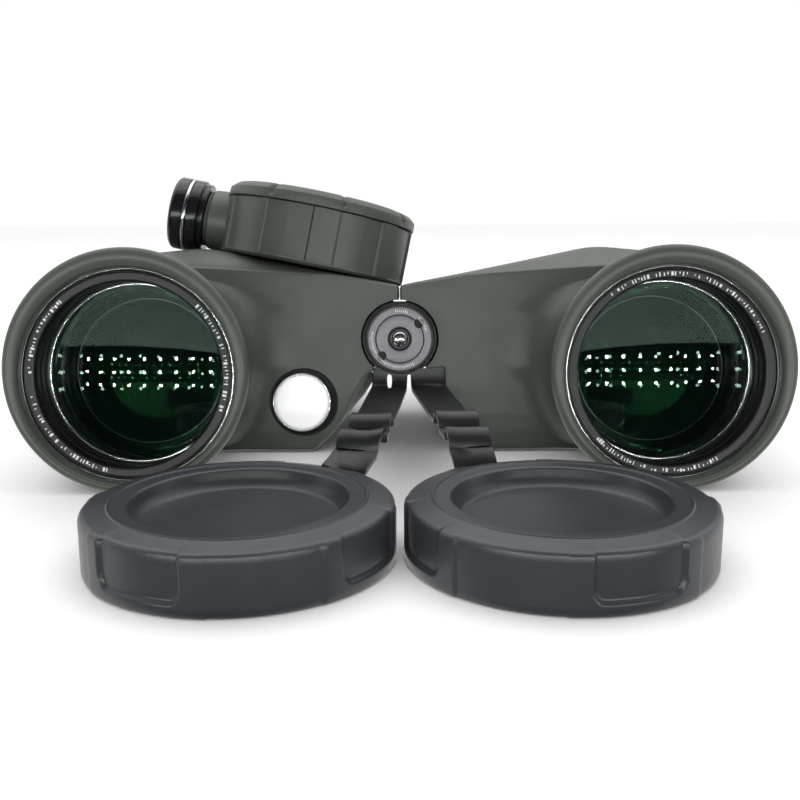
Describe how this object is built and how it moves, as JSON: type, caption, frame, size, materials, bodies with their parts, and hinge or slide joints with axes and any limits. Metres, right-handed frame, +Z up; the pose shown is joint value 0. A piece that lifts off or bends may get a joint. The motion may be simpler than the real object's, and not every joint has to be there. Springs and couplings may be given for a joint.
{
  "type": "compass binoculars",
  "caption": "Hand-held porro-prism binoculars in rubber armour with a built-in lit compass, centre hinge, separately focused eyepieces and lens caps on tethers.",
  "frame": {"origin": "on the surface that the binoculars lie on, under the middle of their box", "axes": "+X towards the user's left half, +Y from the objectives to the eyepieces, +Z up"},
  "size_m": [0.218, 0.2397, 0.0862],
  "materials": {
    "armour_rubber": "satin olive-green rubber armour",
    "cap_rubber": "semi-gloss blue-black rubber",
    "strap_rubber": "matt black rubber",
    "black_plastic": "satin black",
    "shell_plastic": "matt black inside",
    "lens_glass": "coated glass with a green reflection",
    "bright_steel": "bright",
    "white_plastic": "white diffuser",
    "brass": "plain"
  },
  "bodies": {
    "right_half": {"right_armour": "armour_rubber", "right_body_shell": "shell_plastic", "right_objective_bezel": "black_plastic", "right_objective_seal": "strap_rubber", "right_objective_cell": "shell_plastic", "right_objective_front_lens": "lens_glass", "right_objective_rear_lens": "lens_glass", "right_rear_prism": "lens_glass", "right_front_prism": "lens_glass", "right_prism_bracket": "shell_plastic", "right_rear_cover": "armour_rubber", "right_strap_lug": "bright_steel", "hinge_axle": "bright_steel", "hinge_disc": "black_plastic", "hinge_dome": "bright_steel", "hinge_washer": "brass", "rear_hinge_cap": "black_plastic", "compass_housing": "armour_rubber", "compass_window": "lens_glass", "compass_pivot": "brass", "lamp": "white_plastic", "battery_1": "bright_steel", "battery_2": "bright_steel", "light_window": "white_plastic", "light_window_rim": "bright_steel"},
    "left_half": {"left_armour": "armour_rubber", "left_body_shell": "shell_plastic", "left_objective_bezel": "black_plastic", "left_objective_seal": "strap_rubber", "left_objective_cell": "shell_plastic", "left_objective_front_lens": "lens_glass", "left_objective_rear_lens": "lens_glass", "left_rear_prism": "lens_glass", "left_front_prism": "lens_glass", "left_prism_bracket": "shell_plastic", "left_rear_cover": "armour_rubber", "left_strap_lug": "bright_steel"},
    "tether_collar": {"tether_collar": "strap_rubber", "right_cap_tether": "strap_rubber", "left_cap_tether": "strap_rubber"},
    "right_cap": {"right_objective_cap": "cap_rubber"},
    "left_cap": {"left_objective_cap": "cap_rubber"},
    "right_focus_ring": {"right_focus_ring": "black_plastic"},
    "left_focus_ring": {"left_focus_ring": "black_plastic"},
    "right_eyepiece": {"right_eyepiece_tube": "black_plastic", "right_field_lens": "lens_glass", "right_eye_lens": "lens_glass", "right_eyecup": "strap_rubber"},
    "left_eyepiece": {"left_eyepiece_tube": "black_plastic", "left_field_lens": "lens_glass", "left_eye_lens": "lens_glass", "left_eyecup": "strap_rubber"},
    "compass_bezel": {"compass_bezel": "armour_rubber"},
    "compass_card": {"compass_card": "white_plastic", "compass_magnet": "bright_steel"},
    "battery_cap_travel": {"battery_trim_ring": "bright_steel"},
    "battery_cap": {"battery_cap": "black_plastic", "button_spring": "bright_steel"},
    "light_button": {"light_button": "strap_rubber"}
  },
  "joints": [
    {"name": "interpupillary_fold", "type": "hinge", "parent": "right_half", "child": "left_half", "pos_m": [0, -0.0323, 0.0415], "axis": [0, 0.9921, -0.1253], "range_deg": [0, 60]},
    {"name": "tether_swing", "type": "hinge", "parent": "right_half", "child": "tether_collar", "pos_m": [0, -0.0323, 0.0415], "axis": [0, 0.9921, -0.1253], "range_deg": [0, 30]},
    {"name": "right_cap_flex", "type": "hinge", "parent": "tether_collar", "child": "right_cap", "pos_m": [-0.0139, -0.05668, 0.0124], "axis": [-1, 0, 0], "range_deg": [-75, 35]},
    {"name": "left_cap_flex", "type": "hinge", "parent": "tether_collar", "child": "left_cap", "pos_m": [0.019, -0.05398, 0.0124], "axis": [-1, 0, 0], "range_deg": [-75, 35]},
    {"name": "right_focus_turn", "type": "hinge", "parent": "right_half", "child": "right_focus_ring", "pos_m": [-0.0362, 0.08489, 0.0277], "axis": [0, 0.9921, -0.1253], "range_deg": [-120, 120]},
    {"name": "left_focus_turn", "type": "hinge", "parent": "left_half", "child": "left_focus_ring", "pos_m": [0.0362, 0.08489, 0.0277], "axis": [0, 0.9921, -0.1253], "range_deg": [-120, 120]},
    {"name": "right_focus_travel", "type": "slide", "parent": "right_half", "child": "right_eyepiece", "axis": [0, 0.9921, -0.1253], "range_m": [-0.0025, 0.0025]},
    {"name": "left_focus_travel", "type": "slide", "parent": "left_half", "child": "left_eyepiece", "axis": [0, 0.9921, -0.1253], "range_m": [-0.0025, 0.0025]},
    {"name": "compass_bezel_turn", "type": "hinge", "parent": "right_half", "child": "compass_bezel", "pos_m": [-0.03042, 0.04655, 0.05526], "axis": [0.1994, 0.1228, 0.9722], "continuous": true},
    {"name": "compass_card_turn", "type": "hinge", "parent": "right_half", "child": "compass_card", "pos_m": [-0.03042, 0.04655, 0.05526], "axis": [0.1994, 0.1228, 0.9722], "continuous": true},
    {"name": "battery_cap_travel", "type": "slide", "parent": "right_half", "child": "battery_cap_travel", "axis": [-0.9799, 0.025, 0.1978], "range_m": [0, 0.002]},
    {"name": "battery_cap_turn", "type": "hinge", "parent": "battery_cap_travel", "child": "battery_cap", "pos_m": [-0.02839, 0.0478, 0.06518], "axis": [-0.9799, 0.025, 0.1978], "range_deg": [0, 720]},
    {"name": "light_button_press", "type": "slide", "parent": "battery_cap", "child": "light_button", "axis": [0.9799, -0.025, -0.1978], "range_m": [0, 0.001], "stiffness_N_per_m": 400, "springref_m": -0.001}
  ],
  "couplings": [
    {"joint": "tether_swing", "follows": "interpupillary_fold", "ratio": 0.5},
    {"joint": "right_focus_turn", "follows": "right_focus_travel", "rad_per_m": 837},
    {"joint": "left_focus_turn", "follows": "left_focus_travel", "rad_per_m": 837},
    {"joint": "battery_cap_turn", "follows": "battery_cap_travel", "rad_per_m": 6283}
  ]
}
